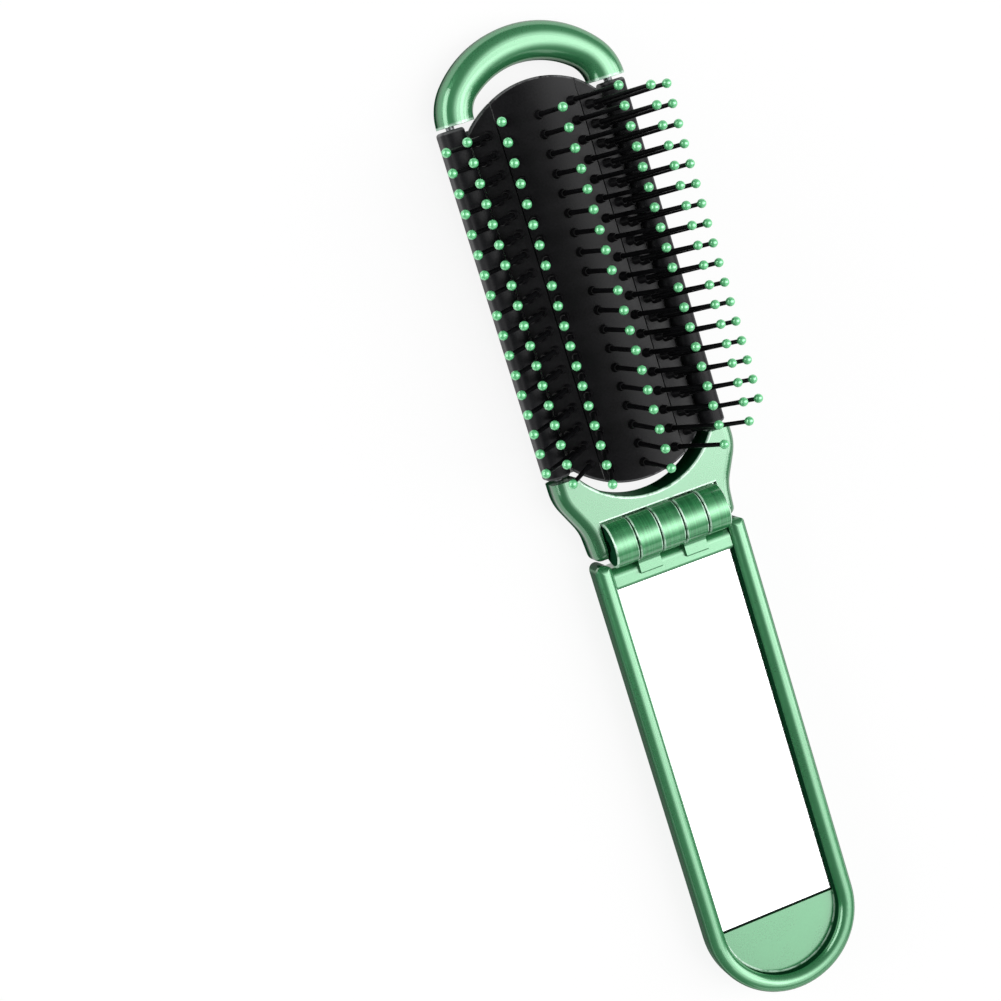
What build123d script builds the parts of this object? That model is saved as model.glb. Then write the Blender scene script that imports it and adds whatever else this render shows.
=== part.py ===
"""Folding hairbrush with a mirror lid, opened flat and lying on its back.

Millimetres. X runs across the brush, Y along it from the mirror to the arch, Z up from the table.
The origin is on the table under the hinge axis. Each piece is its own solid.
"""
import os
from math import asin, cos, degrees, floor, radians, sin, sqrt, tan

from build123d import *

os.makedirs("parts", exist_ok=True)

# Overall
axis_height = 8.0  # the hinge axis lies in the plane where the two halves meet
parting_gap = 0.15  # each half stops this far short of that plane
head_width = 37.0
lid_reach = 97.3  # hinge axis to the round end of the lid
foot_lift = 0.3  # the rails hang this far above the table

# Hinge barrel: the knuckles take turns between the yoke and the lid
barrel_radius = 4.4
knuckle_count = 5
knuckle_width = 4.5
knuckle_gap = 0.3
barrel_clearance = 0.35
pin_radius = 1.2
running_fit = 0.05
pin_recess = 1.0
pin_chamfer = 0.15
knuckle_ease = 0.2
web_drop = 0.95
tab_drop = 0.35
tab_thickness = 1.0
tab_reach = 2.9  # how far the lid's hinge tabs run past the barrel
tab_blend = 0.9
tab_ease = 0.3

# Yoke
yoke_arc_radius = 16.3
yoke_neck = 7.0  # hinge axis to the bottom of the yoke's hollow
horn_reach = 14.2
shoulder_reach = 10.2
waist_reach = 3.2
waist_flare = 0.4
ear_thickness = 2.45
ear_drop = 2.7
yoke_blend = 9.0
ear_corner = 1.4
yoke_edge = 2.2
hollow_edge = 0.5
trough_edge = 0.25

# Side rails, which roll on pins in their ends
rail_width = 4.8
rail_top = 6.2
rail_length = 67.5
rail_end_gap = 0.6
rail_upper_edge = 2.2
rail_lower_edge = 1.0
rail_end_edge = 0.6
rail_pin_inset = 2.6
rail_pin_height = 2.6
rail_pin_radius = 0.8
rail_pin_depth = 3.6
rail_pin_chamfer = 0.1

# Arch
arch_rise = 14.4
arch_limb = 6.9
arch_crown = 7.1
arch_rounding = 3.1
arch_outer_corner = 11.0
arch_inner_corner = 5.0

# Cushion: a centre panel and two wings that fold along film hinges
cushion_top = 6.4
cushion_thickness = 1.2
film_gap = 0.1
wing_width = 5.25
wing_gap = 0.4  # between a wing and its rail
wing_slope = 21.0
cushion_edge = 0.4
cushion_low_gap = 2.5
cushion_high_gap = 3.2
low_end_radius = 18.1
high_end_radius = 17.5

# Bristles
bristle_length = 15.6
bristle_foot_radius = 0.5
bristle_neck_radius = 0.4
bristle_pitch = 3.75
hole_fit = 0.05
collar_radius = 0.95
collar_neck_radius = 0.7
collar_height = 1.7
collar_sink = 0.4
strip_width = 1.4
strip_height = 0.6
first_bristle_inset = 6.1
last_bristle_margin = 2.0
ball_radius = 0.875
ball_socket = 0.6
centre_row_stagger = 0.7
side_row_inset = 1.6  # film hinge to the centre panel's outer row
side_row_lean = 17.0
near_row_reach = 1.7  # film hinge to the wing's first row
near_row_lean = 30.0
near_row_stagger = 1.6
far_row_reach = 3.5
far_row_lean = 39.0
far_row_stagger = 2.25

# Lid
shell_bottom = 0.8
rim_width = 3.5
rim_end = 3.4
rim_corner = 1.7
rim_rounding = 1.6
shell_rounding = 3.0
bar_width = 4.3
bar_rounding = 1.9
bar_front_rounding = 0.7
bar_root = 0.5  # how far the bar runs into the rims
recess_depth = 2.85
mirror_thickness = 1.6
mirror_clearance = 0.15
mirror_line = 0.35  # open joint at the mirror's free edge
adhesive_thickness = 0.25
adhesive_margin = 2.0
panel_seat = 0.4
panel_margin = 3.5
panel_corner = 1.5
panel_clearance = 0.1
panel_edge = 0.3

# Heights and reaches that follow
face_z = axis_height - parting_gap
web_top = face_z - web_drop
tab_top = face_z - tab_drop
bar_top = tab_top - tab_thickness
barrel_bottom = axis_height - barrel_radius
knuckle_step = knuckle_width + knuckle_gap
barrel_half = (knuckle_count * knuckle_step - knuckle_gap) / 2
trough_half = barrel_half + barrel_clearance
trough_reach = barrel_radius + barrel_clearance
ear_half = trough_half + ear_thickness
head_half = head_width / 2
wing_edge_x = head_half - rail_width - wing_gap - wing_width * cos(radians(wing_slope))
centre_half = wing_edge_x - film_gap
side_row_x = centre_half - side_row_inset
yoke_arc_y = yoke_neck + yoke_arc_radius
rail_start = horn_reach + rail_end_gap
rail_end = rail_start + rail_length
rail_pin_x = head_half - rail_pin_inset
arch_foot = rail_end + rail_end_gap
head_reach = arch_foot + arch_rise
cushion_low = yoke_neck + cushion_low_gap
cushion_high = head_reach - arch_crown - cushion_high_gap
lid_half = trough_half + rim_width
lid_end_y = lid_half - lid_reach
recess_floor = face_z - recess_depth
bar_back = trough_reach + bar_width
pocket_floor = recess_floor - mirror_thickness - adhesive_thickness
sides = {"left": -1, "right": 1}


def knuckle_row(first):
    """Every second knuckle of the barrel, beginning with the given one."""
    middle = (knuckle_count - 1) / 2
    return [(i - middle) * knuckle_step for i in range(first, knuckle_count, 2)]


def basket_arch(half, rise, corner):
    """Draw a three-centred arch over the arch feet, closed along its springing line."""
    flat = half - corner
    crown = (flat**2 + rise**2 - corner**2) / (2 * (rise - corner))
    turn = degrees(asin(flat / (crown - corner)))
    CenterArc((flat, arch_foot), corner, 0, 90 - turn)
    CenterArc((0, arch_foot + rise - crown), crown, 90 - turn, 2 * turn)
    CenterArc((-flat, arch_foot), corner, 90 + turn, 90 - turn)
    Line((-half, arch_foot), (half, arch_foot))


def add_knuckles(first):
    """Add every second knuckle of the barrel, with eased ends."""
    with BuildSketch(Plane.XY.offset(axis_height)) as half_section:
        with Locations(*[(x, 0) for x in knuckle_row(first)]):
            Rectangle(knuckle_width, barrel_radius, align=(Align.CENTER, Align.MIN))
        chamfer(half_section.vertices().group_by(Axis.Y)[-1], knuckle_ease)
    revolve(half_section.sketch, axis=Axis((0, 0, axis_height), (1, 0, 0)))


def along_x(x, y, z):
    """A place whose own Z runs across the brush."""
    return Location((x, y, z), (0, 90, 0))


def along_y(x, y, z):
    """A place whose own Z runs along the brush, towards the arch."""
    return Location((x, y, z), (-90, 0, 0))


# ------------------------------------------------------------------ hinge yoke
with BuildPart() as hinge_yoke:
    with BuildSketch() as yoke_plan:
        with BuildLine():
            Polyline(
                (0, horn_reach),
                (head_half, horn_reach),
                (head_half, shoulder_reach),
                (ear_half + waist_flare, waist_reach),
                (ear_half, -ear_drop),
                (0, -ear_drop),
            )
            mirror(about=Plane.YZ)
        make_face()
        bends = yoke_plan.vertices().filter_by_position(Axis.Y, waist_reach, shoulder_reach)
        fillet(bends, yoke_blend)
        fillet(yoke_plan.vertices().group_by(Axis.Y)[0], ear_corner)
        with Locations((0, yoke_arc_y)):
            Circle(yoke_arc_radius, mode=Mode.SUBTRACT)
    extrude(amount=face_z)
    rims = hinge_yoke.edges().filter_by(Axis.Z, reverse=True)
    flanks = rims.filter_by(lambda e: abs(e.center().X) > ear_half - ear_corner)
    fillet(flanks.filter_by(lambda e: e.center().Y < horn_reach), yoke_edge)
    rims = hinge_yoke.edges().filter_by(GeomType.CIRCLE)
    fillet(rims.filter_by(lambda e: e.radius == yoke_arc_radius), hollow_edge)
    with Locations((0, trough_reach, 0)):
        Box(
            2 * trough_half,
            trough_reach + ear_drop,
            face_z,
            align=(Align.CENTER, Align.MAX, Align.MIN),
            mode=Mode.SUBTRACT,
        )
    throat = hinge_yoke.edges().filter_by(Axis.X).filter_by_position(Axis.Z, face_z, face_z)
    fillet(throat.sort_by(Axis.Y)[-1], trough_edge)
    add_knuckles(0)
    with Locations(*[(x, 0, barrel_bottom) for x in knuckle_row(0)]):
        Box(
            knuckle_width,
            trough_reach + trough_edge,
            web_top - barrel_bottom,
            align=(Align.CENTER, Align.MIN, Align.MIN),
        )
    with Locations(along_x(0, 0, axis_height)):
        Cylinder(pin_radius, 2 * barrel_half + barrel_clearance, mode=Mode.SUBTRACT)
    with Locations(*[along_y(s * rail_pin_x, horn_reach, rail_pin_height) for s in sides.values()]):
        Cylinder(rail_pin_radius, 2 * rail_pin_depth, mode=Mode.SUBTRACT)
hinge_yoke.part.label = "hinge_yoke"
export_step(hinge_yoke.part, "parts/hinge_yoke.step")

# ------------------------------------------------------------------- hinge pin
with BuildPart() as hinge_pin:
    with Locations(along_x(0, 0, axis_height)):
        Cylinder(pin_radius, 2 * (barrel_half - pin_recess))
    chamfer(hinge_pin.edges(), pin_chamfer)
hinge_pin.part.label = "hinge_pin"
export_step(hinge_pin.part, "parts/hinge_pin.step")

# -------------------------------------------------------------------- top arch
with BuildPart() as top_arch:
    with BuildSketch():
        with BuildLine():
            basket_arch(head_half, arch_rise, arch_outer_corner)
        make_face()
        with BuildLine():
            basket_arch(head_half - arch_limb, arch_rise - arch_crown, arch_inner_corner)
        make_face(mode=Mode.SUBTRACT)
    extrude(amount=face_z)
    fillet(top_arch.edges().filter_by(GeomType.CIRCLE), arch_rounding)
    with Locations(*[along_y(s * rail_pin_x, arch_foot, rail_pin_height) for s in sides.values()]):
        Cylinder(rail_pin_radius, 2 * rail_pin_depth, mode=Mode.SUBTRACT)
top_arch.part.label = "top_arch"
export_step(top_arch.part, "parts/top_arch.step")

# ---------------------------------------------------- side rails and their pins
for side, sign in sides.items():
    with BuildPart() as rail:
        with Locations((sign * (head_half - rail_width / 2), rail_start, foot_lift)):
            Box(
                rail_width,
                rail_length,
                rail_top - foot_lift,
                align=(Align.CENTER, Align.MIN, Align.MIN),
            )
        fillet(rail.edges().filter_by(Axis.Y).group_by(Axis.Z)[-1], rail_upper_edge)
        fillet(rail.edges().filter_by(Axis.Y).group_by(Axis.Z)[0], rail_lower_edge)
        for end in (0, -1):
            fillet(rail.faces().sort_by(Axis.Y)[end].edges(), rail_end_edge)
        with Locations(*[along_y(sign * rail_pin_x, y, rail_pin_height) for y in (rail_start, rail_end)]):
            Cylinder(rail_pin_radius + running_fit, 2 * rail_pin_depth, mode=Mode.SUBTRACT)
    rail.part.label = f"rail_{side}"
    export_step(rail.part, f"parts/rail_{side}.step")

    for end, seam in {"yoke": horn_reach + rail_end_gap / 2, "arch": rail_end + rail_end_gap / 2}.items():
        with BuildPart() as rail_pin:
            with Locations(along_y(sign * rail_pin_x, seam, rail_pin_height)):
                Cylinder(rail_pin_radius, 2 * rail_pin_depth + rail_end_gap / 2)
            chamfer(rail_pin.edges(), rail_pin_chamfer)
        rail_pin.part.label = f"rail_pin_{side}_{end}"
        export_step(rail_pin.part, f"parts/rail_pin_{side}_{end}.step")

# --------------------------------------------------------------- bristle places
class Row:
    """One line of bristles: its panel's slope, its root on the panel's top and its lean, in degrees."""

    def __init__(self, sign, root_x, root_z, slope, lean, stagger):
        self.x, self.z = sign * root_x, root_z
        self.slope, self.lean = sign * slope, sign * lean
        first = cushion_high - first_bristle_inset - stagger
        low_edge = cushion_low + low_end_radius - sqrt(low_end_radius**2 - root_x**2)
        count = floor((first - low_edge - last_bristle_margin) / bristle_pitch) + 1
        self.ys = [first - i * bristle_pitch for i in range(count)]

    def places(self, height=0.0):
        """The bristle axes, each at a height above the panel's top."""
        lean = (0, self.lean, 0)
        return [Location((self.x, y, self.z), lean) * Location((0, 0, height)) for y in self.ys]

    def strip_place(self):
        """The middle of the strip that joins the feet under the panel."""
        below = cushion_thickness + strip_height / 2
        drift = below * tan(radians(self.lean - self.slope))
        slope = radians(self.slope)
        x = self.x - below * sin(slope) - drift * cos(slope)
        z = self.z - below * cos(slope) + drift * sin(slope)
        return Location((x, (self.ys[0] + self.ys[-1]) / 2, z), (0, self.slope, 0))


def wing_row(sign, reach, lean, stagger):
    """A row on a wing, at a distance down the wing from its film hinge."""
    x = wing_edge_x + reach * cos(radians(wing_slope))
    z = cushion_top - reach * sin(radians(wing_slope))
    return Row(sign, x, z, wing_slope, lean, stagger)


centre_rows = {
    "centre_left": Row(-1, side_row_x, cushion_top, 0, side_row_lean, 0),
    "centre": Row(1, 0, cushion_top, 0, 0, centre_row_stagger),
    "centre_right": Row(1, side_row_x, cushion_top, 0, side_row_lean, 0),
}
wing_rows = {
    side: {
        f"{side}_near": wing_row(sign, near_row_reach, near_row_lean, near_row_stagger),
        f"{side}_far": wing_row(sign, far_row_reach, far_row_lean, far_row_stagger),
    }
    for side, sign in sides.items()
}
all_rows = {**centre_rows, **wing_rows["left"], **wing_rows["right"]}


def trim_and_stud(panel, rows):
    """Cut a cushion panel to the round-ended plan, then give it collars and holes for its rows."""
    low_centre, high_centre = cushion_low + low_end_radius, cushion_high - high_end_radius
    with BuildSketch() as plan:
        with Locations((0, low_centre)):
            Circle(low_end_radius)
        with Locations((0, high_centre)):
            Circle(high_end_radius)
        with Locations((0, (low_centre + high_centre) / 2)):
            Rectangle(2 * low_end_radius, high_centre - low_centre)
    extrude(plan.sketch, amount=axis_height, mode=Mode.INTERSECT)
    top = panel.faces().sort_by(lambda face: face.normal_at().Z)[-1]
    fillet(top.edges().filter_by(Axis.Y, reverse=True), cushion_edge)
    for row in rows:
        with Locations(*row.places(-collar_sink)):
            Cone(
                collar_radius,
                collar_neck_radius,
                collar_sink + collar_height,
                align=(Align.CENTER, Align.CENTER, Align.MIN),
            )
    for row in rows:
        with Locations(*row.places()):
            Cylinder(bristle_foot_radius + hole_fit, 4 * collar_height, mode=Mode.SUBTRACT)


# -------------------------------------------------------------- cushion panels
with BuildPart() as cushion_centre:
    with BuildSketch(Plane.XZ.offset(-head_reach)):
        with Locations((0, cushion_top)):
            Rectangle(2 * (centre_half - film_gap), cushion_thickness, align=(Align.CENTER, Align.MAX))
    extrude(amount=head_reach)
    trim_and_stud(cushion_centre, centre_rows.values())
cushion_centre.part.label = "cushion_centre"
export_step(cushion_centre.part, "parts/cushion_centre.step")

for side, sign in sides.items():
    slope = radians(wing_slope)
    run, fall = wing_width * cos(slope), wing_width * sin(slope)
    with BuildPart() as wing:
        with BuildSketch(Plane.XZ.offset(-head_reach)):
            with BuildLine():
                Polyline(
                    (sign * wing_edge_x, cushion_top),
                    (sign * (wing_edge_x + run), cushion_top - fall),
                    (
                        sign * (wing_edge_x + run - cushion_thickness * sin(slope)),
                        cushion_top - fall - cushion_thickness * cos(slope),
                    ),
                    (sign * wing_edge_x, cushion_top - cushion_thickness / cos(slope)),
                    close=True,
                )
            make_face()
        extrude(amount=head_reach)
        trim_and_stud(wing, wing_rows[side].values())
    wing.part.label = f"cushion_wing_{side}"
    export_step(wing.part, f"parts/cushion_wing_{side}.step")

# --------------------------------------------------- bristle strips and ball tips
for name, row in all_rows.items():
    root_depth = (cushion_thickness + strip_height / 2) / cos(radians(row.lean - row.slope))
    with BuildPart() as bristles:
        with Locations(row.strip_place()):
            Box(strip_width, row.ys[0] - row.ys[-1] + strip_width, strip_height)
        with Locations(*row.places(-root_depth)):
            Cone(
                bristle_foot_radius,
                bristle_neck_radius,
                root_depth + bristle_length,
                align=(Align.CENTER, Align.CENTER, Align.MIN),
            )
    bristles.part.label = f"bristles_{name}"
    export_step(bristles.part, f"parts/bristles_{name}.step")

    with BuildPart() as ball:
        Sphere(ball_radius)
        with Locations((0, 0, -ball_radius)):
            Cylinder(
                bristle_neck_radius + hole_fit,
                ball_radius,
                align=(Align.CENTER, Align.CENTER, Align.MIN),
                mode=Mode.SUBTRACT,
            )
    with BuildPart() as tips:
        with Locations(*row.places(bristle_length)):
            add(ball.part)
    tips.part.label = f"tips_{name}"
    export_step(tips.part, f"parts/tips_{name}.step")

# ------------------------------------------------------------------ mirror lid
def lid_wall():
    """Draw one side of the lid's cross-section: a shallow tray with a beaded rim."""
    wall_top = face_z - rim_rounding
    wall_foot = shell_bottom + shell_rounding
    Line((0, shell_bottom), (lid_half - shell_rounding, shell_bottom))
    CenterArc((lid_half - shell_rounding, wall_foot), shell_rounding, -90, 90)
    Line((lid_half, wall_foot), (lid_half, wall_top))
    CenterArc((lid_half - rim_rounding, wall_top), rim_rounding, 0, 90)
    Line((lid_half - rim_rounding, face_z), (trough_half + rim_rounding, face_z))
    CenterArc((trough_half + rim_rounding, wall_top), rim_rounding, 90, 90)
    Polyline((trough_half, wall_top), (trough_half, recess_floor), (0, recess_floor), (0, shell_bottom))


with BuildPart() as mirror_lid:
    with BuildSketch(Plane.XZ.offset(rim_end)):
        with BuildLine():
            lid_wall()
        make_face()
        mirror(about=Plane.YZ)
    extrude(amount=-rim_end - lid_end_y)
    with BuildSketch(Plane.XZ.offset(-lid_end_y)):
        with BuildLine():
            lid_wall()
        make_face()
    revolve(axis=Axis((0, lid_end_y, 0), (0, 0, 1)), revolution_arc=-180)
    with BuildSketch():
        rim_ends = [(sign * (trough_half + rim_width / 2), -rim_end) for sign in sides.values()]
        with Locations(*rim_ends):
            Rectangle(rim_width, rim_corner, align=(Align.CENTER, Align.MAX))
            RectangleRounded(
                rim_width, 4 * rim_corner, rim_corner, align=(Align.CENTER, Align.MAX), mode=Mode.SUBTRACT
            )
    extrude(amount=axis_height, mode=Mode.SUBTRACT)
    with BuildSketch(Plane.YZ):
        with Locations((-rim_end, face_z)):
            Rectangle(rim_rounding, rim_rounding, align=(Align.MAX, Align.MAX))
        with Locations((-rim_end - rim_rounding, face_z - rim_rounding)):
            Circle(rim_rounding, mode=Mode.SUBTRACT)
    extrude(amount=head_width, both=True, mode=Mode.SUBTRACT)
    Box(2 * trough_half, 2 * trough_reach, 2 * axis_height, mode=Mode.SUBTRACT)
    with BuildSketch(Plane.YZ.offset(-trough_half - bar_root)):
        with BuildLine():
            front_y, front_z = bar_front_rounding - bar_back, bar_top - bar_front_rounding
            rear_y, rear_z = -trough_reach - bar_rounding, bar_top - bar_rounding
            CenterArc((front_y, front_z), bar_front_rounding, 90, 90)
            Line((front_y, bar_top), (rear_y, bar_top))
            CenterArc((rear_y, rear_z), bar_rounding, 0, 90)
            Polyline(
                (-trough_reach, rear_z),
                (-trough_reach, pocket_floor),
                (-bar_back, pocket_floor),
                (-bar_back, front_z),
            )
        make_face()
    extrude(amount=2 * (trough_half + bar_root))
    with Locations((0, -bar_back, pocket_floor)):
        Box(
            2 * trough_half,
            -lid_end_y - bar_back,
            axis_height,
            align=(Align.CENTER, Align.MAX, Align.MIN),
            mode=Mode.SUBTRACT,
        )
    add_knuckles(1)
    blend_z = tab_top + tab_blend
    blend_y = -sqrt((barrel_radius + tab_blend) ** 2 - (blend_z - axis_height) ** 2)
    blend_turn = 90 - degrees(asin((blend_z - axis_height) / (barrel_radius + tab_blend)))
    with BuildSketch(*[Plane.YZ.offset(x - knuckle_width / 2) for x in knuckle_row(1)]):
        with BuildLine():
            blend = CenterArc((blend_y, blend_z), tab_blend, -90, blend_turn)
            top = Line(blend @ 0, (-barrel_radius - tab_reach + tab_ease, tab_top))
            tip = JernArc(top @ 1, (-1, 0), tab_ease, 90)
            Polyline(
                tip @ 1,
                (-barrel_radius - tab_reach, bar_top - bar_rounding),
                (-pin_radius, bar_top - bar_rounding),
                (-pin_radius, axis_height),
                blend @ 1,
            )
        make_face()
    extrude(amount=knuckle_width)
    with Locations(along_x(0, 0, axis_height)):
        Cylinder(pin_radius + running_fit, 2 * barrel_half, mode=Mode.SUBTRACT)
    with BuildSketch(Plane.XY.offset(shell_bottom)):
        with Locations((0, -trough_reach - panel_corner)):
            Rectangle(
                2 * (lid_half - panel_margin),
                -trough_reach - panel_corner - lid_end_y,
                align=(Align.CENTER, Align.MAX),
            )
        with Locations((0, lid_end_y)):
            Circle(lid_half - panel_margin)
    extrude(amount=panel_seat, mode=Mode.SUBTRACT)
mirror_lid.part.label = "mirror_lid"
export_step(mirror_lid.part, "parts/mirror_lid.step")

# ------------------------------------------------------- panel on the lid's back
with BuildPart() as lid_panel:
    with BuildSketch() as panel_plan:
        panel_half = lid_half - panel_margin - panel_clearance
        panel_front = trough_reach + panel_corner + panel_clearance
        with Locations((0, -panel_front)):
            Rectangle(2 * panel_half, -panel_front - lid_end_y, align=(Align.CENTER, Align.MAX))
        with Locations((0, lid_end_y)):
            Circle(panel_half)
        fillet(panel_plan.vertices().group_by(Axis.Y)[-1], panel_corner)
    extrude(amount=shell_bottom + panel_seat)
    fillet(lid_panel.edges().group_by(Axis.Z)[0], panel_edge)
lid_panel.part.label = "lid_panel"
export_step(lid_panel.part, "parts/lid_panel.step")

# --------------------------------------------------- mirror and its adhesive pad
with BuildPart() as mirror_glass:
    with Locations((0, -bar_back - mirror_clearance, recess_floor - mirror_thickness)):
        Box(
            2 * (trough_half - mirror_clearance),
            -lid_end_y - bar_back - mirror_clearance - mirror_line,
            mirror_thickness,
            align=(Align.CENTER, Align.MAX, Align.MIN),
        )
mirror_glass.part.label = "mirror_glass"
export_step(mirror_glass.part, "parts/mirror_glass.step")

with BuildPart() as mirror_adhesive:
    with Locations((0, -bar_back - adhesive_margin, pocket_floor)):
        Box(
            2 * (trough_half - adhesive_margin),
            -lid_end_y - bar_back - 2 * adhesive_margin,
            adhesive_thickness,
            align=(Align.CENTER, Align.MAX, Align.MIN),
        )
mirror_adhesive.part.label = "mirror_adhesive"
export_step(mirror_adhesive.part, "parts/mirror_adhesive.step")
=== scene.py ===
from math import radians

import bpy
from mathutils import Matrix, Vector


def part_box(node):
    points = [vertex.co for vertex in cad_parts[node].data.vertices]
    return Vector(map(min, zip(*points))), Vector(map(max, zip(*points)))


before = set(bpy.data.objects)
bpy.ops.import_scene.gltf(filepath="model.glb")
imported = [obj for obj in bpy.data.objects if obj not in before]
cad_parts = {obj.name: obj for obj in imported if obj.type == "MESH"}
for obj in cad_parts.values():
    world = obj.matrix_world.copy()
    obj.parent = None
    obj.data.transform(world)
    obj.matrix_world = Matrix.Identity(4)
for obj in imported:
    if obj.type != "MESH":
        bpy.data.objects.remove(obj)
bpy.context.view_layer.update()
scene = bpy.context.scene
scene.view_settings.view_transform = "Standard"

# ------------------------------------------------------------------- camera
# The brush lies open on its back. The camera looks down on it from over the
# left of the bristles, turned a little and tilted towards the lid.
camera_place = (-0.10842, 0.07919, 0.37318)
camera_lean = radians(12.266)
camera_tilt = radians(9.714)
camera_roll = radians(17.532)
camera_lens = 73.7  # millimetres
camera_nearest = 0.01

bpy.ops.object.camera_add(location=camera_place)
camera = bpy.context.object
camera.rotation_mode = "ZXY"
camera.rotation_euler = (-camera_tilt, -camera_lean, -camera_roll)
camera.data.lens = camera_lens
camera.data.clip_start = camera_nearest
scene.camera = camera

# ------------------------------------------------------------- studio table
# A matt white table top. To the camera, in reflections and through glass it
# mostly glows an even white, so that the brush's shadow shows only faintly.
# Right under the cushion and under the gap above the hinge it doesn't glow:
# this paints shadow into those gaps, so that they look dark.
table_side = 24.0
table_white = (0.93, 0.93, 0.93, 1)
table_roughness = 0.9
glow_share = 0.87
under_cushion = ((0.0, 0.0478), (0.0136, 0.0335))  # its middle and half its size
under_hinge = ((0.0017, 0.0035), (0.0135, 0.0012))


def wire(tree, kind, outcome=0, settings=(), **values):
    """Add a node, set or connect its inputs by number (in0, in1...) or by name, and return one output."""
    node = tree.nodes.new(kind)
    for setting, value in settings:
        setattr(node, setting, value)
    for key, value in values.items():
        place = int(key[2:]) if key[:2] == "in" and key[2:].isdigit() else key.replace("_", " ")
        if isinstance(value, bpy.types.NodeSocket):
            tree.links.new(value, node.inputs[place])
        else:
            node.inputs[place].default_value = value
    return node.outputs[outcome]


def sums(tree, operation, *numbers):
    """One Math node, on one, two or three numbers."""
    values = {f"in{place}": number for place, number in enumerate(numbers)}
    return wire(tree, "ShaderNodeMath", settings=(("operation", operation),), **values)


def times(tree, first, *others):
    """The numbers multiplied together, which keeps what all of several masks share."""
    for other in others:
        first = sums(tree, "MULTIPLY", first, other)
    return first


def highest(tree, first, *others):
    """The highest of the numbers, which joins several masks."""
    for other in others:
        first = sums(tree, "MAXIMUM", first, other)
    return first


def axes(tree, place):
    """How far a point is across the brush, along it and up."""
    return tuple(wire(tree, "ShaderNodeSeparateXYZ", Vector=place).node.outputs)


bpy.ops.object.select_all(action="DESELECT")
bpy.ops.mesh.primitive_plane_add(size=table_side, location=(0, 0, 0))
table = bpy.context.object
table.name = "studio_table"
table_paint = bpy.data.materials.new("studio_white")
table_paint.use_nodes = True
tree = table_paint.node_tree
matt = tree.nodes["Principled BSDF"]
matt.inputs["Base Color"].default_value = table_white
matt.inputs["Roughness"].default_value = table_roughness
matt.inputs["Specular IOR Level"].default_value = 0.0
path = tree.nodes.new("ShaderNodeLightPath")
looks = [path.outputs[f"Is {look} Ray"] for look in ("Camera", "Glossy", "Transmission")]
share = times(tree, highest(tree, *looks), glow_share)
spot = axes(tree, wire(tree, "ShaderNodeTexCoord", "Object"))
# Painted shadow: no glow under the cushion and under the gap above the hinge.
for middle, half in (under_cushion, under_hinge):
    aside = [sums(tree, "ABSOLUTE", sums(tree, "SUBTRACT", spot[i], middle[i])) for i in (0, 1)]
    outside = [sums(tree, "GREATER_THAN", aside[i], half[i]) for i in (0, 1)]
    share = times(tree, share, highest(tree, *outside))
glow = wire(tree, "ShaderNodeEmission")
lit = wire(tree, "ShaderNodeMixShader", in0=share, in1=matt.outputs["BSDF"], in2=glow)
tree.links.new(lit, tree.nodes["Material Output"].inputs["Surface"])
table.data.materials.append(table_paint)

# ------------------------------------------------------------- studio light
# A bright soft light overhead, to the right, fades fast into a dim room, and
# draws one bright band along each rounded rim. Three weak soft boxes fill in
# the left, the right and the near side.
light_from = (0.44, -0.06, 0.895)
light_strength = 5.5
dome_width = 2.0
fade = {
    0.05: 0.88, 0.1: 0.68, 0.15: 0.5, 0.2: 0.36, 0.25: 0.22,
    0.3: 0.12, 0.38: 0.045, 0.6: 0.025, 1.0: 0.015,
}

world = bpy.data.worlds.new("studio_dome")
scene.world = world
world.use_nodes = True
tree = world.node_tree
direction = wire(tree, "ShaderNodeTexCoord", "Generated")
apart = (("operation", "DISTANCE"),)
away = wire(tree, "ShaderNodeVectorMath", "Value", apart, in0=direction, in1=light_from)
ramp = tree.nodes.new("ShaderNodeValToRGB")
levels = ramp.color_ramp.elements
levels.remove(levels[1])
levels[0].color = (1, 1, 1, 1)
for position, level in fade.items():
    levels.new(position).color = (level, level, level, 1)
tree.links.new(sums(tree, "DIVIDE", away, dome_width), ramp.inputs["Fac"])
tree.links.new(ramp.outputs["Color"], tree.nodes["Background"].inputs["Color"])
tree.nodes["Background"].inputs["Strength"].default_value = light_strength


def soft_box(name, place, width, height, watts):
    """A rectangular lamp that faces the brush."""
    bpy.ops.object.light_add(type="AREA", location=place)
    lamp = bpy.context.object
    lamp.name = name
    lamp.data.shape = "RECTANGLE"
    lamp.data.size = width
    lamp.data.size_y = height
    lamp.data.energy = watts
    lamp.rotation_euler = lamp.location.to_track_quat("Z", "Y").to_euler()


soft_box("soft_box_left", (-0.72, 0.30, 0.27), width=0.95, height=0.42, watts=4.0)
soft_box("soft_box_right", (0.77, -0.06, 0.46), width=0.6, height=0.5, watts=2.6)
soft_box("soft_box_near", (0.2, -0.82, 0.3), width=0.8, height=0.4, watts=0.7)

# ----------------------------------------------------------------- top arch
# The arch at the end of the head: moulded ABS, sprayed with a green pearl
# lacquer. Low on its flanks it is painted dark green as shade, with no clear
# coat. A steel pin holds each rail in its feet, and the feet's ends are paler,
# as wear and painted highlight.
pearl_light = (0.062, 0.33, 0.130, 1)
pearl_deep = (0.036, 0.24, 0.085, 1)
painted_shade_green = (0.009, 0.075, 0.030, 1)
wear_and_highlight_green = (0.62, 0.86, 0.70, 1)
pearl_rim = (0.05, 0.20, 0.10, 1)
metal_share = 0.5
flake_size = 0.00022
flake_share = 0.2
flake_relief = 0.04
clouds_per_metre = 90.0
peel_per_metre = 420.0
coat_smoothest = 0.25
coat_roughening = 0.06
coat_roughness = 0.16
coat_index = 2.0
coat_relief = 0.000003
flank_fade = 0.0030
breaks_per_metre = 700.0
break_spread = (0.25, 0.55)
arch_flank_top = 0.0068
foot_pale_share = 0.7
foot_pale_full = 0.0002
foot_pale_end = 0.0006


def between(tree, value, low, high):
    """A smooth step: 0 below low, 1 above high."""
    step = (("interpolation_type", "SMOOTHSTEP"),)
    return wire(tree, "ShaderNodeMapRange", settings=step, Value=value, From_Min=low, From_Max=high)


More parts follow.
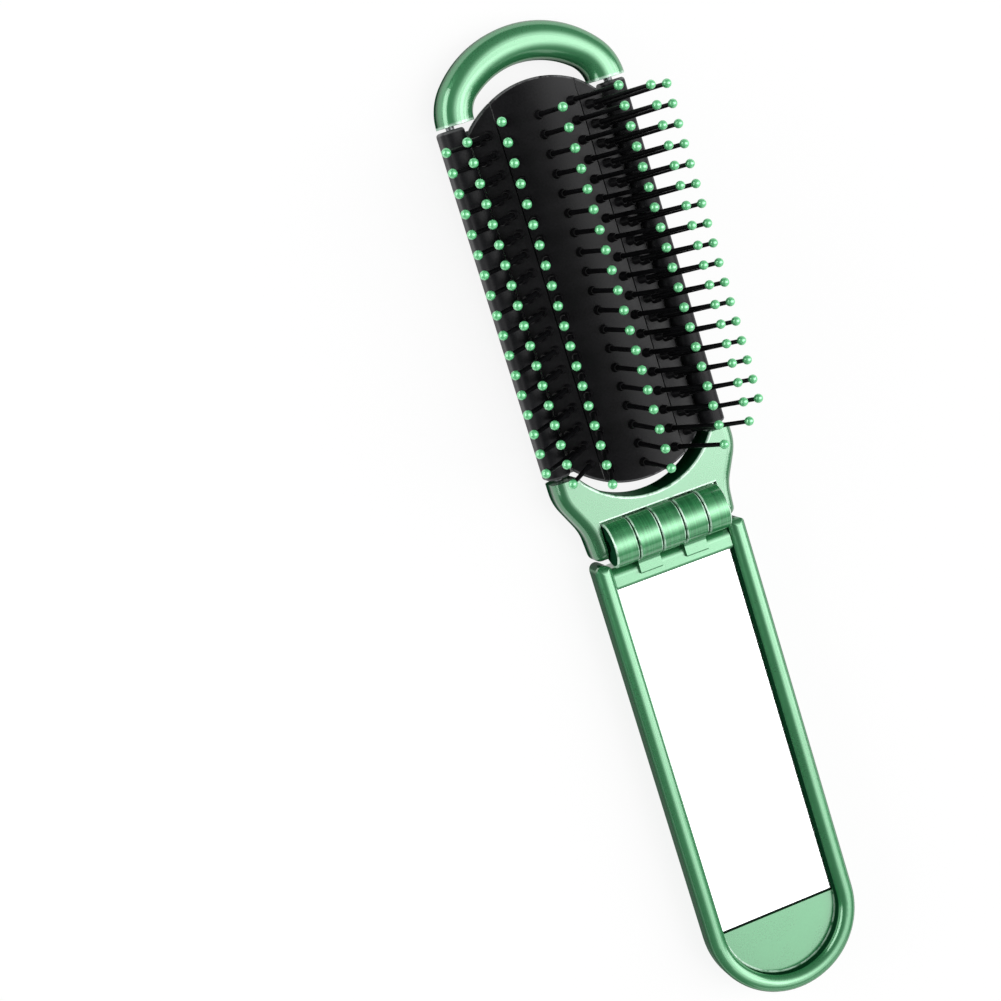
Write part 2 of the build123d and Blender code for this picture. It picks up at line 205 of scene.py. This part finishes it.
def near(tree, value, full, gone):
    """A smooth step down: 1 below full, 0 above gone."""
    return sums(tree, "SUBTRACT", 1.0, between(tree, value, full, gone))


def mixed(tree, share, first, second):
    """A colour between two others."""
    return wire(tree, "ShaderNodeMix", 2, (("data_type", "RGBA"),), in0=share, in6=first, in7=second)


def new_group(name, takes, gives):
    """An empty node group, with its input node and its output node."""
    group = bpy.data.node_groups.new(name, "ShaderNodeTree")
    for socket, kind, value in takes:
        made = group.interface.new_socket(socket, in_out="INPUT", socket_type=kind)
        if value is not None:
            made.default_value = value
    for socket, kind in gives:
        group.interface.new_socket(socket, in_out="OUTPUT", socket_type=kind)
    return group, group.nodes.new("NodeGroupInput"), group.nodes.new("NodeGroupOutput")


# Lacquer: fine pearl flakes in slow clouds. Low on the flanks, and wherever a
# piece asks for it, the colour is painted shade, a dark green, with no clear coat.
lacquer, takes, gives = new_group(
    "pearl_lacquer",
    (
        ("Place", "NodeSocketVector", None),
        ("Light", "NodeSocketColor", pearl_light),
        ("Deep", "NodeSocketColor", pearl_deep),
        ("Flake size", "NodeSocketFloat", flake_size),
        ("Flank top", "NodeSocketFloat", arch_flank_top),
        ("Painted shade", "NodeSocketFloat", 0.0),
    ),
    (
        ("Colour", "NodeSocketColor"),
        ("Roughness", "NodeSocketFloat"),
        ("Clear coat", "NodeSocketFloat"),
        ("Height", "NodeSocketFloat"),
    ),
)
place = takes.outputs["Place"]
flank_top = takes.outputs["Flank top"]
cloud = wire(lacquer, "ShaderNodeTexNoise", Vector=place, Scale=clouds_per_metre, Detail=3.0)
flakes_per_metre = sums(lacquer, "DIVIDE", 1.0, takes.outputs["Flake size"])
flake = wire(lacquer, "ShaderNodeTexVoronoi", "Color", Vector=place, Scale=flakes_per_metre)
flake_tone = wire(lacquer, "ShaderNodeSeparateColor", Color=flake)
cloud_tone = times(lacquer, cloud, 1 - flake_share)
tone = sums(lacquer, "ADD", times(lacquer, flake_tone, flake_share), cloud_tone)
coat = mixed(lacquer, tone, takes.outputs["Deep"], takes.outputs["Light"])
height = axes(lacquer, place)[2]
# Painted shade: dark green low on the flanks and where a piece asks for it.
unshaded = between(lacquer, height, sums(lacquer, "SUBTRACT", flank_top, flank_fade), flank_top)
unshaded = times(lacquer, unshaded, sums(lacquer, "SUBTRACT", 1.0, takes.outputs["Painted shade"]))
lacquer.links.new(mixed(lacquer, unshaded, painted_shade_green, coat), gives.inputs["Colour"])
lacquer.links.new(unshaded, gives.inputs["Clear coat"])
rough = sums(lacquer, "MULTIPLY_ADD", tone, coat_roughening, coat_smoothest)
lacquer.links.new(rough, gives.inputs["Roughness"])
peel = wire(lacquer, "ShaderNodeTexNoise", Vector=place, Scale=peel_per_metre, Detail=1.0)
relief = sums(lacquer, "ADD", peel, times(lacquer, flake_tone, flake_relief))
lacquer.links.new(relief, gives.inputs["Height"])

# Pale edges: a broken, paler line along an edge, for wear and for painted
# highlights.
wear_and_highlight, takes, gives = new_group(
    "wear_and_highlight_edge",
    (
        ("Place", "NodeSocketVector", None),
        ("Nearness", "NodeSocketFloat", 0.0),
        ("Colour", "NodeSocketColor", pearl_light),
        ("Worn", "NodeSocketColor", wear_and_highlight_green),
        ("Amount", "NodeSocketFloat", 0.8),
    ),
    (("Colour", "NodeSocketColor"), ("Mask", "NodeSocketFloat")),
)
breaks = wire(wear_and_highlight, "ShaderNodeTexNoise", Vector=takes.outputs["Place"], Scale=breaks_per_metre, Detail=2.0)
patchy = between(wear_and_highlight, breaks, *break_spread)
mask = times(wear_and_highlight, patchy, takes.outputs["Nearness"], takes.outputs["Amount"])
wear_and_highlight.links.new(mixed(wear_and_highlight, mask, takes.outputs["Colour"], takes.outputs["Worn"]), gives.inputs["Colour"])
wear_and_highlight.links.new(mask, gives.inputs["Mask"])


def new_material(name, metallic=0.0):
    """A material with one principled shader: its tree, the shader and where on the brush a point is."""
    material = bpy.data.materials.new(name)
    material.use_nodes = True
    tree = material.node_tree
    shader = tree.nodes["Principled BSDF"]
    shader.inputs["Metallic"].default_value = metallic
    return material, tree, shader, wire(tree, "ShaderNodeTexCoord", "Object")


def placed(tree, group, place, **values):
    """Put a node group in a material, at this place on the brush, with these values."""
    node = tree.nodes.new("ShaderNodeGroup")
    node.node_tree = group
    tree.links.new(place, node.inputs["Place"])
    for key, value in values.items():
        socket = node.inputs[key.replace("_", " ")]
        if isinstance(value, bpy.types.NodeSocket):
            tree.links.new(value, socket)
        else:
            socket.default_value = value
    return node


def dress(material, *names):
    """Give CAD nodes this material."""
    for name in names:
        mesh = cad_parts[name].data
        mesh.materials.clear()
        mesh.materials.append(material)


def emboss(tree, shader, height, depth):
    """Raise the surface by a height pattern, in metres."""
    tree.links.new(wire(tree, "ShaderNodeBump", Height=height, Distance=depth), shader.inputs["Normal"])


def pearl_coat(name, flank_top, light=pearl_light, deep=pearl_deep):
    """Green pearl lacquer, with painted shade below flank_top. Its colour and relief are left loose, for a
    piece to add its own marks.
    """
    material, tree, shader, place = new_material(name, metal_share)
    shader.inputs["Specular Tint"].default_value = pearl_rim
    shader.inputs["Specular IOR Level"].default_value = 0.0
    shader.inputs["Coat Roughness"].default_value = coat_roughness
    shader.inputs["Coat IOR"].default_value = coat_index
    coat = placed(tree, lacquer, place, Flank_top=flank_top, Light=light, Deep=deep)
    tree.links.new(coat.outputs["Roughness"], shader.inputs["Roughness"])
    tree.links.new(coat.outputs["Clear coat"], shader.inputs["Coat Weight"])
    return material, tree, shader, place, coat


def pale_wear_and_highlight(tree, shader, place, colour, nearness, amount, pale_colour=wear_and_highlight_green):
    """Make the surface pale where nearness is 1, for wear and painted highlights, and lead the colour to the
    shader.
    """
    pale_edge = placed(tree, wear_and_highlight, place, Colour=colour, Nearness=nearness, Amount=amount, Worn=pale_colour)
    tree.links.new(pale_edge.outputs["Colour"], shader.inputs["Base Color"])
    if shader.inputs["Metallic"].default_value:
        metal = sums(tree, "MULTIPLY_ADD", pale_edge.outputs["Mask"], -metal_share, metal_share)
        tree.links.new(metal, shader.inputs["Metallic"])


foot_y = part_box("top_arch")[0][1]
arch_green, tree, shader, place, coat = pearl_coat("arch_green", arch_flank_top)
along = axes(tree, place)[1]
# Paler ends of the feet: wear and painted highlight.
foot = near(tree, along, foot_y + foot_pale_full, foot_y + foot_pale_end)
pale_wear_and_highlight(tree, shader, place, coat.outputs["Colour"], foot, foot_pale_share)
emboss(tree, shader, coat.outputs["Height"], coat_relief)
dress(arch_green, "top_arch")

# --------------------------------------------------------------- hinge yoke
# The yoke at the other end of the head, in the same sprayed ABS, painted a
# darker green than the arch as shade, and dark green as shade low on its flanks,
# with three knuckles turned bright before spraying. Knuckle rims and lips are
# paler, as wear and painted highlight, and the hollow's wall and the knuckles'
# end faces are painted dark green as shade.
barrel_axis_z = 0.008
barrel_radius = 0.0044
barrel_skin = 0.0005
barrel_near = 0.00008
barrel_past = 0.0002
knuckle_step = 0.0048
knuckle_end = 0.00225
rim_pale_start = 0.0003
rim_pale_full = 0.0002
trough_lip_y = 0.00475
trough_half = 0.0122
hollow_centre = (0.0, 0.0233, 0.0)
hollow_radius = 0.0163
wall_slack = 0.00005
hollow_lip = (0.0001, 0.0002, 0.0005, 0.0007)  # starts, is full, fades and ends this far past the edge
trough_lip = (-0.0001, 0.0, 0.0002, 0.0003)
lip_foot_z = 0.0068
lip_top_z = 0.0073
yoke_flank_top = 0.0064
# The yoke's own pearl colours: darker than the arch's, as painted shade.
yoke_shaded_light = (0.048, 0.255, 0.102, 1)
yoke_shaded_deep = (0.028, 0.185, 0.066, 1)
barrel_light = (0.070, 0.42, 0.150, 1)
barrel_deep = (0.036, 0.26, 0.090, 1)
rings_per_metre = 4200.0
ring_stretch = 0.012
ring_relief = 1.2
ring_spread = (0.3, 0.7)
soft_edge = 0.0001
pale_line_share = 0.9

# Turning marks: fine rings round the barrel.
turned, takes, gives = new_group(
    "turned_rings",
    (("Place", "NodeSocketVector", None), ("Rings per metre", "NodeSocketFloat", rings_per_metre)),
    (("Tone", "NodeSocketFloat"), ("Height", "NodeSocketFloat")),
)
drawn_out = (1, ring_stretch, ring_stretch)
multiply = (("operation", "MULTIPLY"),)
stretch = wire(turned, "ShaderNodeVectorMath", settings=multiply, in0=takes.outputs["Place"], in1=drawn_out)
density = takes.outputs["Rings per metre"]
rings = wire(turned, "ShaderNodeTexNoise", Vector=stretch, Scale=density, Detail=3.0, Roughness=0.6)
turned.links.new(between(turned, rings, *ring_spread), gives.inputs["Tone"])
turned.links.new(rings, gives.inputs["Height"])


def barrel_marks(tree, shader, place, coat):
    """Turn the barrel bright. Returns its colour, a mask of the knuckles' rims, for wear and painted
    highlight, and a mask of their end faces, for painted shade.
    """
    across, along, height = axes(tree, place)
    up = sums(tree, "SUBTRACT", height, barrel_axis_z)
    reach = sums(tree, "SQRT", sums(tree, "ADD", times(tree, along, along), times(tree, up, up)))
    off = between(tree, reach, barrel_radius + barrel_near, barrel_radius + barrel_past)
    beside = between(tree, sums(tree, "ABSOLUTE", across), trough_half, trough_half + soft_edge)
    on = sums(tree, "SUBTRACT", 1.0, highest(tree, off, beside))
    at_skin = between(tree, reach, barrel_radius - barrel_skin, barrel_radius - barrel_skin + soft_edge)
    rings = placed(tree, turned, place)
    bright = mixed(tree, rings.outputs["Tone"], barrel_deep, barrel_light)
    colour = mixed(tree, times(tree, at_skin, on), coat.outputs["Colour"], bright)
    ring_height = times(tree, rings.outputs["Height"], on, ring_relief)
    emboss(tree, shader, sums(tree, "ADD", coat.outputs["Height"], ring_height), coat_relief)
    from_middle = sums(tree, "PINGPONG", across, knuckle_step / 2)
    at_end = between(tree, from_middle, knuckle_end - rim_pale_start, knuckle_end - rim_pale_full)
    faces = times(tree, on, sums(tree, "LESS_THAN", reach, barrel_radius - barrel_skin))
    return colour, times(tree, at_end, at_skin, on), faces


def plan_distance(tree, place, centre):
    """How far a point is from a centre on plan, whatever its height."""
    flat = wire(tree, "ShaderNodeVectorMath", settings=multiply, in0=place, in1=(1, 1, 0))
    return wire(tree, "ShaderNodeVectorMath", "Value", apart, in0=flat, in1=centre)


def line(tree, value, edge, start, full, fade, end):
    """A soft-edged line along an edge. It starts, is full, fades and ends this far past the edge."""
    return times(
        tree, between(tree, value, edge + start, edge + full), near(tree, value, edge + fade, edge + end)
    )


yoke_green, tree, shader, place, coat = pearl_coat("yoke_green", yoke_flank_top, yoke_shaded_light, yoke_shaded_deep)
across, along, height = axes(tree, place)
colour, rims, faces = barrel_marks(tree, shader, place, coat)
from_hollow = plan_distance(tree, place, hollow_centre)
wall = sums(tree, "LESS_THAN", from_hollow, hollow_radius + wall_slack)
# Painted shade: the hollow's wall and the knuckles' end faces are dark green.
tree.links.new(highest(tree, wall, faces), coat.inputs["Painted shade"])
# Wear and painted highlight: pale lines on the hollow's lip, the trough's edge and the knuckle rims.
lip = line(tree, from_hollow, hollow_radius, *hollow_lip)
lip = times(tree, lip, between(tree, height, lip_foot_z, lip_top_z))
beside_barrel = sums(tree, "LESS_THAN", sums(tree, "ABSOLUTE", across), trough_half)
trough = times(tree, line(tree, along, trough_lip_y, *trough_lip), beside_barrel)
pale_wear_and_highlight(tree, shader, place, colour, highest(tree, lip, trough, rims), pale_line_share)
dress(yoke_green, "hinge_yoke")

# --------------------------------------------------------------- steel pins
# Bright drawn wire: one long pin through the knuckles, pressed into the yoke,
# and a short one at each end of each rail.
steel_dark = (0.22, 0.23, 0.24, 1)
steel_bright = (0.42, 0.43, 0.44, 1)
draws_per_metre = 3000.0
draw_relief = 0.000004
draw_spread = (-1.2, 2.4)  # wider than the draw marks, so that they change the gloss only a little
steel, tree, shader, place = new_material("pin_steel", 1.0)
drawn = wire(tree, "ShaderNodeTexNoise", Vector=place, Scale=draws_per_metre, Detail=2.0)
tree.links.new(mixed(tree, drawn, steel_dark, steel_bright), shader.inputs["Base Color"])
tree.links.new(between(tree, drawn, *draw_spread), shader.inputs["Roughness"])
emboss(tree, shader, drawn, draw_relief)
dress(steel, "hinge_pin", *[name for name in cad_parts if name.startswith("rail_pin")])

# -------------------------------------------------------------------- rails
# The two bars beside the cushion, moulded in black nylon with a fine spark
# texture, that roll on their pins as the cushion folds. Their ends are worn.
rail_light = (0.016, 0.016, 0.018, 1)
rail_deep = (0.005, 0.005, 0.006, 1)
wear_and_highlight_grey = (0.16, 0.16, 0.165, 1)
rail_smoothest = 0.32
rail_roughest = 0.48
rail_sheen = 0.15
end_rub = 0.7
end_rubbed = 0.0003
end_clean = 0.0007
spark_size = 0.0003
spark_relief = 0.00001
tones_per_metre = 160.0
pit_share = 0.5
tone_spread = (0.3, 0.7)

# Spark texture: the even pitting of a moulding tool, with slow clouds in the tone.
spark, takes, gives = new_group(
    "spark_texture",
    (
        ("Place", "NodeSocketVector", None),
        ("Grain size", "NodeSocketFloat", spark_size),
        ("Light", "NodeSocketColor", rail_light),
        ("Deep", "NodeSocketColor", rail_deep),
        ("Smoothest", "NodeSocketFloat", rail_smoothest),
        ("Roughest", "NodeSocketFloat", rail_roughest),
    ),
    (("Colour", "NodeSocketColor"), ("Roughness", "NodeSocketFloat"), ("Height", "NodeSocketFloat")),
)
place = takes.outputs["Place"]
grains_per_metre = sums(spark, "DIVIDE", 1.0, takes.outputs["Grain size"])
pits = wire(spark, "ShaderNodeTexNoise", Vector=place, Scale=grains_per_metre, Detail=2.0, Roughness=0.65)
cloud = wire(spark, "ShaderNodeTexNoise", Vector=place, Scale=tones_per_metre, Detail=3.0)
tone = sums(spark, "ADD", times(spark, pits, pit_share), times(spark, cloud, 1 - pit_share))
tone = between(spark, tone, *tone_spread)
spark.links.new(mixed(spark, tone, takes.outputs["Deep"], takes.outputs["Light"]), gives.inputs["Colour"])
smoothest = takes.outputs["Smoothest"]
rough = wire(spark, "ShaderNodeMapRange", Value=tone, To_Min=smoothest, To_Max=takes.outputs["Roughest"])
spark.links.new(rough, gives.inputs["Roughness"])
spark.links.new(pits, gives.inputs["Height"])


def moulded(name, light, deep, smoothest, roughest, grain=spark_size):
    """A moulded plastic or rubber. Its relief is left loose."""
    material, tree, shader, place = new_material(name)
    skin = placed(
        tree, spark, place, Grain_size=grain, Light=light, Deep=deep, Smoothest=smoothest, Roughest=roughest
    )
    tree.links.new(skin.outputs["Colour"], shader.inputs["Base Color"])
    tree.links.new(skin.outputs["Roughness"], shader.inputs["Roughness"])
    return material, tree, shader, place, skin


rail_black, tree, shader, place, skin = moulded(
    "rail_black", rail_light, rail_deep, rail_smoothest, rail_roughest
)
shader.inputs["Specular IOR Level"].default_value = rail_sheen
low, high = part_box("rail_left")
along = axes(tree, place)[1]
from_low_end = sums(tree, "SUBTRACT", along, low[1])
from_high_end = sums(tree, "SUBTRACT", high[1], along)
rail_end = near(tree, sums(tree, "MINIMUM", from_low_end, from_high_end), end_rubbed, end_clean)
pale_wear_and_highlight(tree, shader, place, skin.outputs["Colour"], rail_end, end_rub, wear_and_highlight_grey)
emboss(tree, shader, skin.outputs["Height"], spark_relief)
dress(rail_black, "rail_left", "rail_right")

# ------------------------------------------------------------------ cushion
# The centre panel and its two wings: matt black TPE with a soft leathery
# grain, slightly crowned across, and paler grey on their round ends, as wear
# and painted highlight.
cushion_light = (0.009, 0.0085, 0.010, 1)
cushion_deep = (0.002, 0.002, 0.0025, 1)
cushion_smoothest = 0.3
cushion_roughest = 0.42
cushion_sheen = 0.2
wing_smoothest = 0.36
wing_roughest = 0.5
wing_sheen = 0.22
cushion_grain = 0.0004
crown_middle = 0.0048
crown_half = 0.0083
crown_slope = 0.34  # at half the crown's width from its middle
cushion_end_pale_share = 0.8
cushion_end_pale_start = 0.0005
cushion_end_pale_full = 0.0003
high_end = (0.0, 0.0695, 0.0)
high_end_radius = 0.0175
low_end = (0.0, 0.0276, 0.0)
low_end_radius = 0.0181


def end_wear_and_highlight(tree, shader, place, skin):
    """Make the round ends of the cushion's panels pale, for wear and painted highlight."""
    along = axes(tree, place)[1]
    rims = []
    for middle, radius, side in (
        (high_end, high_end_radius, "GREATER_THAN"), (low_end, low_end_radius, "LESS_THAN")
    ):
        reach = plan_distance(tree, place, middle)
        rim = between(tree, reach, radius - cushion_end_pale_start, radius - cushion_end_pale_full)
        rims.append(times(tree, rim, sums(tree, side, along, middle[1])))
    pale_wear_and_highlight(tree, shader, place, skin.outputs["Colour"], highest(tree, *rims), cushion_end_pale_share, wear_and_highlight_grey)


cushion_black, tree, shader, place, skin = moulded(
    "cushion_black", cushion_light, cushion_deep, cushion_smoothest, cushion_roughest, cushion_grain
)
shader.inputs["Specular IOR Level"].default_value = cushion_sheen
from_crown = sums(tree, "SUBTRACT", axes(tree, place)[0], crown_middle)
crown = times(tree, from_crown, from_crown, -crown_slope / (2 * crown_half) / spark_relief)
emboss(tree, shader, sums(tree, "ADD", skin.outputs["Height"], crown), spark_relief)
end_wear_and_highlight(tree, shader, place, skin)
dress(cushion_black, "cushion_centre")

wing_black, tree, shader, place, skin = moulded(
    "wing_black", cushion_light, cushion_deep, wing_smoothest, wing_roughest, cushion_grain
)
shader.inputs["Specular IOR Level"].default_value = wing_sheen
emboss(tree, shader, skin.outputs["Height"], spark_relief)
end_wear_and_highlight(tree, shader, place, skin)
dress(wing_black, "cushion_wing_left", "cushion_wing_right")

# ------------------------------------------------------------- bristle rows
# Seven rows of polished black nylon bristles, each row moulded on a strip
# under its panel and pushed up through the panel's holes.
bristle_light = (0.006, 0.006, 0.007, 1)
bristle_deep = (0.0015, 0.0015, 0.002, 1)
bristle_smoothest = 0.25
bristle_roughest = 0.4
bristle_grain = 0.0006
bristle_relief = 0.000004
bristle_sheen = 0.15
rows = [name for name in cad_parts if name.startswith("bristles_")]
bristle_black, tree, shader, place, skin = moulded(
    "bristle_black", bristle_light, bristle_deep, bristle_smoothest, bristle_roughest, bristle_grain
)
shader.inputs["Specular IOR Level"].default_value = bristle_sheen
emboss(tree, shader, skin.outputs["Height"], bristle_relief)
dress(bristle_black, *rows)

# ---------------------------------------------------------------- ball tips
# A ball of green pearl resin is dipped on the end of every bristle, and cures
# glossy, with the lacquer's own flakes in it.
tip_light = (0.19, 0.78, 0.34, 1)
tip_deep = (0.10, 0.58, 0.21, 1)
tip_metal = 0.3
tip_gloss = 0.27
tip_index = 2.3
tip_relief = 0.000006
tip_flank_top = 0.002  # below every tip, so that the flakes show all over
tip_green, tree, shader, place = new_material("tip_green", tip_metal)
shader.inputs["Specular Tint"].default_value = pearl_rim
shader.inputs["Specular IOR Level"].default_value = 0.0
shader.inputs["Coat Weight"].default_value = 1.0
shader.inputs["Coat Roughness"].default_value = tip_gloss
shader.inputs["Coat IOR"].default_value = tip_index
coat = placed(tree, lacquer, place, Light=tip_light, Deep=tip_deep, Flank_top=tip_flank_top)
tree.links.new(coat.outputs["Colour"], shader.inputs["Base Color"])
tree.links.new(coat.outputs["Roughness"], shader.inputs["Roughness"])
emboss(tree, shader, coat.outputs["Height"], tip_relief)
dress(tip_green, *[name.replace("bristles", "tips") for name in rows])

# --------------------------------------------------------------- mirror lid
# A round-ended tray in the same sprayed ABS, with two knuckles on a beaded
# bar. A painted highlight runs where the floor meets the wall at the round end,
# and painted shade, dark green with no clear coat, lies on the inner wall, the
# flanks and the ends of the rims.
lid_end = (0.0, -0.0816, 0.0)
lid_half = 0.0157
lid_floor_z = 0.005
rim_end_y = -0.0034
rim_shoulder_z = 0.0063
corner_highlight_line = (-0.0004, -0.0003, -0.00008, 0.0)
corner_highlight_height = 0.0003
wall_foot = 0.0001
flank_shade_width = 0.0006
rim_end_shade_start = 0.0010
rim_end_shade_full = 0.0004
# How strongly the flanks and rim ends are painted dark green as shade.
flank_shade_share = 0.85
# A flank top below the brush puts no painted shade low on the flanks.
flank_top_below_brush = -0.01  # a flank top below the brush


def from_lid_line(tree, place):
    """How far a point is on plan from the lid's middle line, which stops where its round end begins."""
    across, along, _ = axes(tree, place)
    round_end = times(tree, plan_distance(tree, place, lid_end), sums(tree, "LESS_THAN", along, lid_end[1]))
    return highest(tree, sums(tree, "ABSOLUTE", across), round_end)


lid_green, tree, shader, place, coat = pearl_coat("lid_green", flank_top_below_brush)
across, along, height = axes(tree, place)
colour, rims, faces = barrel_marks(tree, shader, place, coat)
outwards = from_lid_line(tree, place)
# Painted highlight: a pale line where the floor meets the wall at the round end.
corner_highlight = times(
    tree,
    line(tree, outwards, trough_half, *corner_highlight_line),
    sums(tree, "LESS_THAN", height, lid_floor_z + corner_highlight_height),
    sums(tree, "LESS_THAN", along, lid_end[1]),
)
# Painted shade: the inner wall, the flanks and the ends of the rims go dark green.
wall = sums(tree, "COMPARE", outwards, trough_half, wall_slack)
wall = times(tree, wall, sums(tree, "GREATER_THAN", height, lid_floor_z + wall_foot))
flank = between(tree, outwards, lid_half - flank_shade_width, lid_half - wall_slack)
rim_end = times(
    tree,
    between(tree, along, rim_end_y - rim_end_shade_start, rim_end_y - rim_end_shade_full),
    sums(tree, "LESS_THAN", height, rim_shoulder_z),
    sums(tree, "GREATER_THAN", sums(tree, "ABSOLUTE", across), trough_half),
)
flank = times(tree, highest(tree, flank, rim_end), flank_shade_share)
tree.links.new(highest(tree, wall, faces, flank), coat.inputs["Painted shade"])
pale_wear_and_highlight(tree, shader, place, colour, highest(tree, corner_highlight, rims), pale_line_share)
dress(lid_green, "mirror_lid")

# -------------------------------------------------------- panel on the back
# A separate sprayed plate glued into the lid's back, smooth and plain. It is
# pale along its edge, as wear where the folded brush slides about on it, and as
# painted highlight.
panel_edge_pale_share = 0.45
panel_pale_full = 0.0001
panel_pale_end = 0.0005
low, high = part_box("lid_panel")
panel_green, tree, shader, place, coat = pearl_coat("panel_green", flank_top_below_brush)
from_side = sums(tree, "SUBTRACT", high[0], from_lid_line(tree, place))
from_front = sums(tree, "SUBTRACT", high[1], axes(tree, place)[1])
# Pale edge: wear and painted highlight.
edge = near(tree, sums(tree, "MINIMUM", from_side, from_front), panel_pale_full, panel_pale_end)
pale_wear_and_highlight(tree, shader, place, coat.outputs["Colour"], edge, panel_edge_pale_share)
emboss(tree, shader, coat.outputs["Height"], coat_relief)
dress(panel_green, "lid_panel")

# ------------------------------------------------------------------- mirror
# Silvered glass, with painted shade in a faint grey band towards its edges. It
# is ground pale along them, and has a dark painted shadow along its free end.
silver_cool = (0.92, 0.925, 0.945, 1)
silver_bright = (0.97, 0.97, 0.98, 1)
edge_shade_grey = (0.31, 0.32, 0.36, 1)
edge_shade_share = 0.65
edge_shade_start = 0.0003
edge_shade_width = 0.0048
ground_white = (0.98, 0.98, 0.99, 1)
ground_start = 0.0004
ground_width = 0.0007
ground_roughness = 0.1
polished = 0.015
shadow_line_black = (0.01, 0.012, 0.012, 1)
shadow_line_width = 0.00022
hazes_per_metre = 60.0

low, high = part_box("mirror_glass")
silvered, tree, shader, place = new_material("silvered_glass", 1.0)
across, along, _ = axes(tree, place)
from_side = sums(tree, "SUBTRACT", high[0], sums(tree, "ABSOLUTE", across))
from_free_end = sums(tree, "SUBTRACT", along, low[1])
from_bar = sums(tree, "SUBTRACT", high[1], along)
from_edge = sums(tree, "MINIMUM", sums(tree, "MINIMUM", from_side, from_free_end), from_bar)
haze = wire(tree, "ShaderNodeTexNoise", Vector=place, Scale=hazes_per_metre, Detail=3.0)
# Painted shade: a faint grey band towards the edges.
edge_shade = times(tree, near(tree, from_edge, edge_shade_start, edge_shade_width), edge_shade_share)
tint = mixed(tree, edge_shade, mixed(tree, haze, silver_cool, silver_bright), edge_shade_grey)
ground = near(tree, from_edge, ground_start, ground_width)
tint = mixed(tree, ground, tint, ground_white)
# Painted shadow: a dark line along the free end.
painted = sums(tree, "LESS_THAN", from_free_end, shadow_line_width)
tree.links.new(mixed(tree, painted, tint, shadow_line_black), shader.inputs["Base Color"])
tree.links.new(sums(tree, "MULTIPLY_ADD", ground, ground_roughness, polished), shader.inputs["Roughness"])
dress(silvered, "mirror_glass")

# ----------------------------------------------------------------- adhesive
# A pad of closed-cell foam, sticky on both faces, that holds the mirror down
# in the lid's recess.
foam_light = (0.62, 0.62, 0.60, 1)
foam_deep = (0.48, 0.48, 0.46, 1)
foam_smoothest = 0.8
foam_roughest = 0.95
foam_cell = 0.0005
foam_relief = 0.00004
foam_white, tree, shader, place, skin = moulded(
    "foam_white", foam_light, foam_deep, foam_smoothest, foam_roughest, foam_cell
)
emboss(tree, shader, skin.outputs["Height"], foam_relief)
dress(foam_white, "mirror_adhesive")
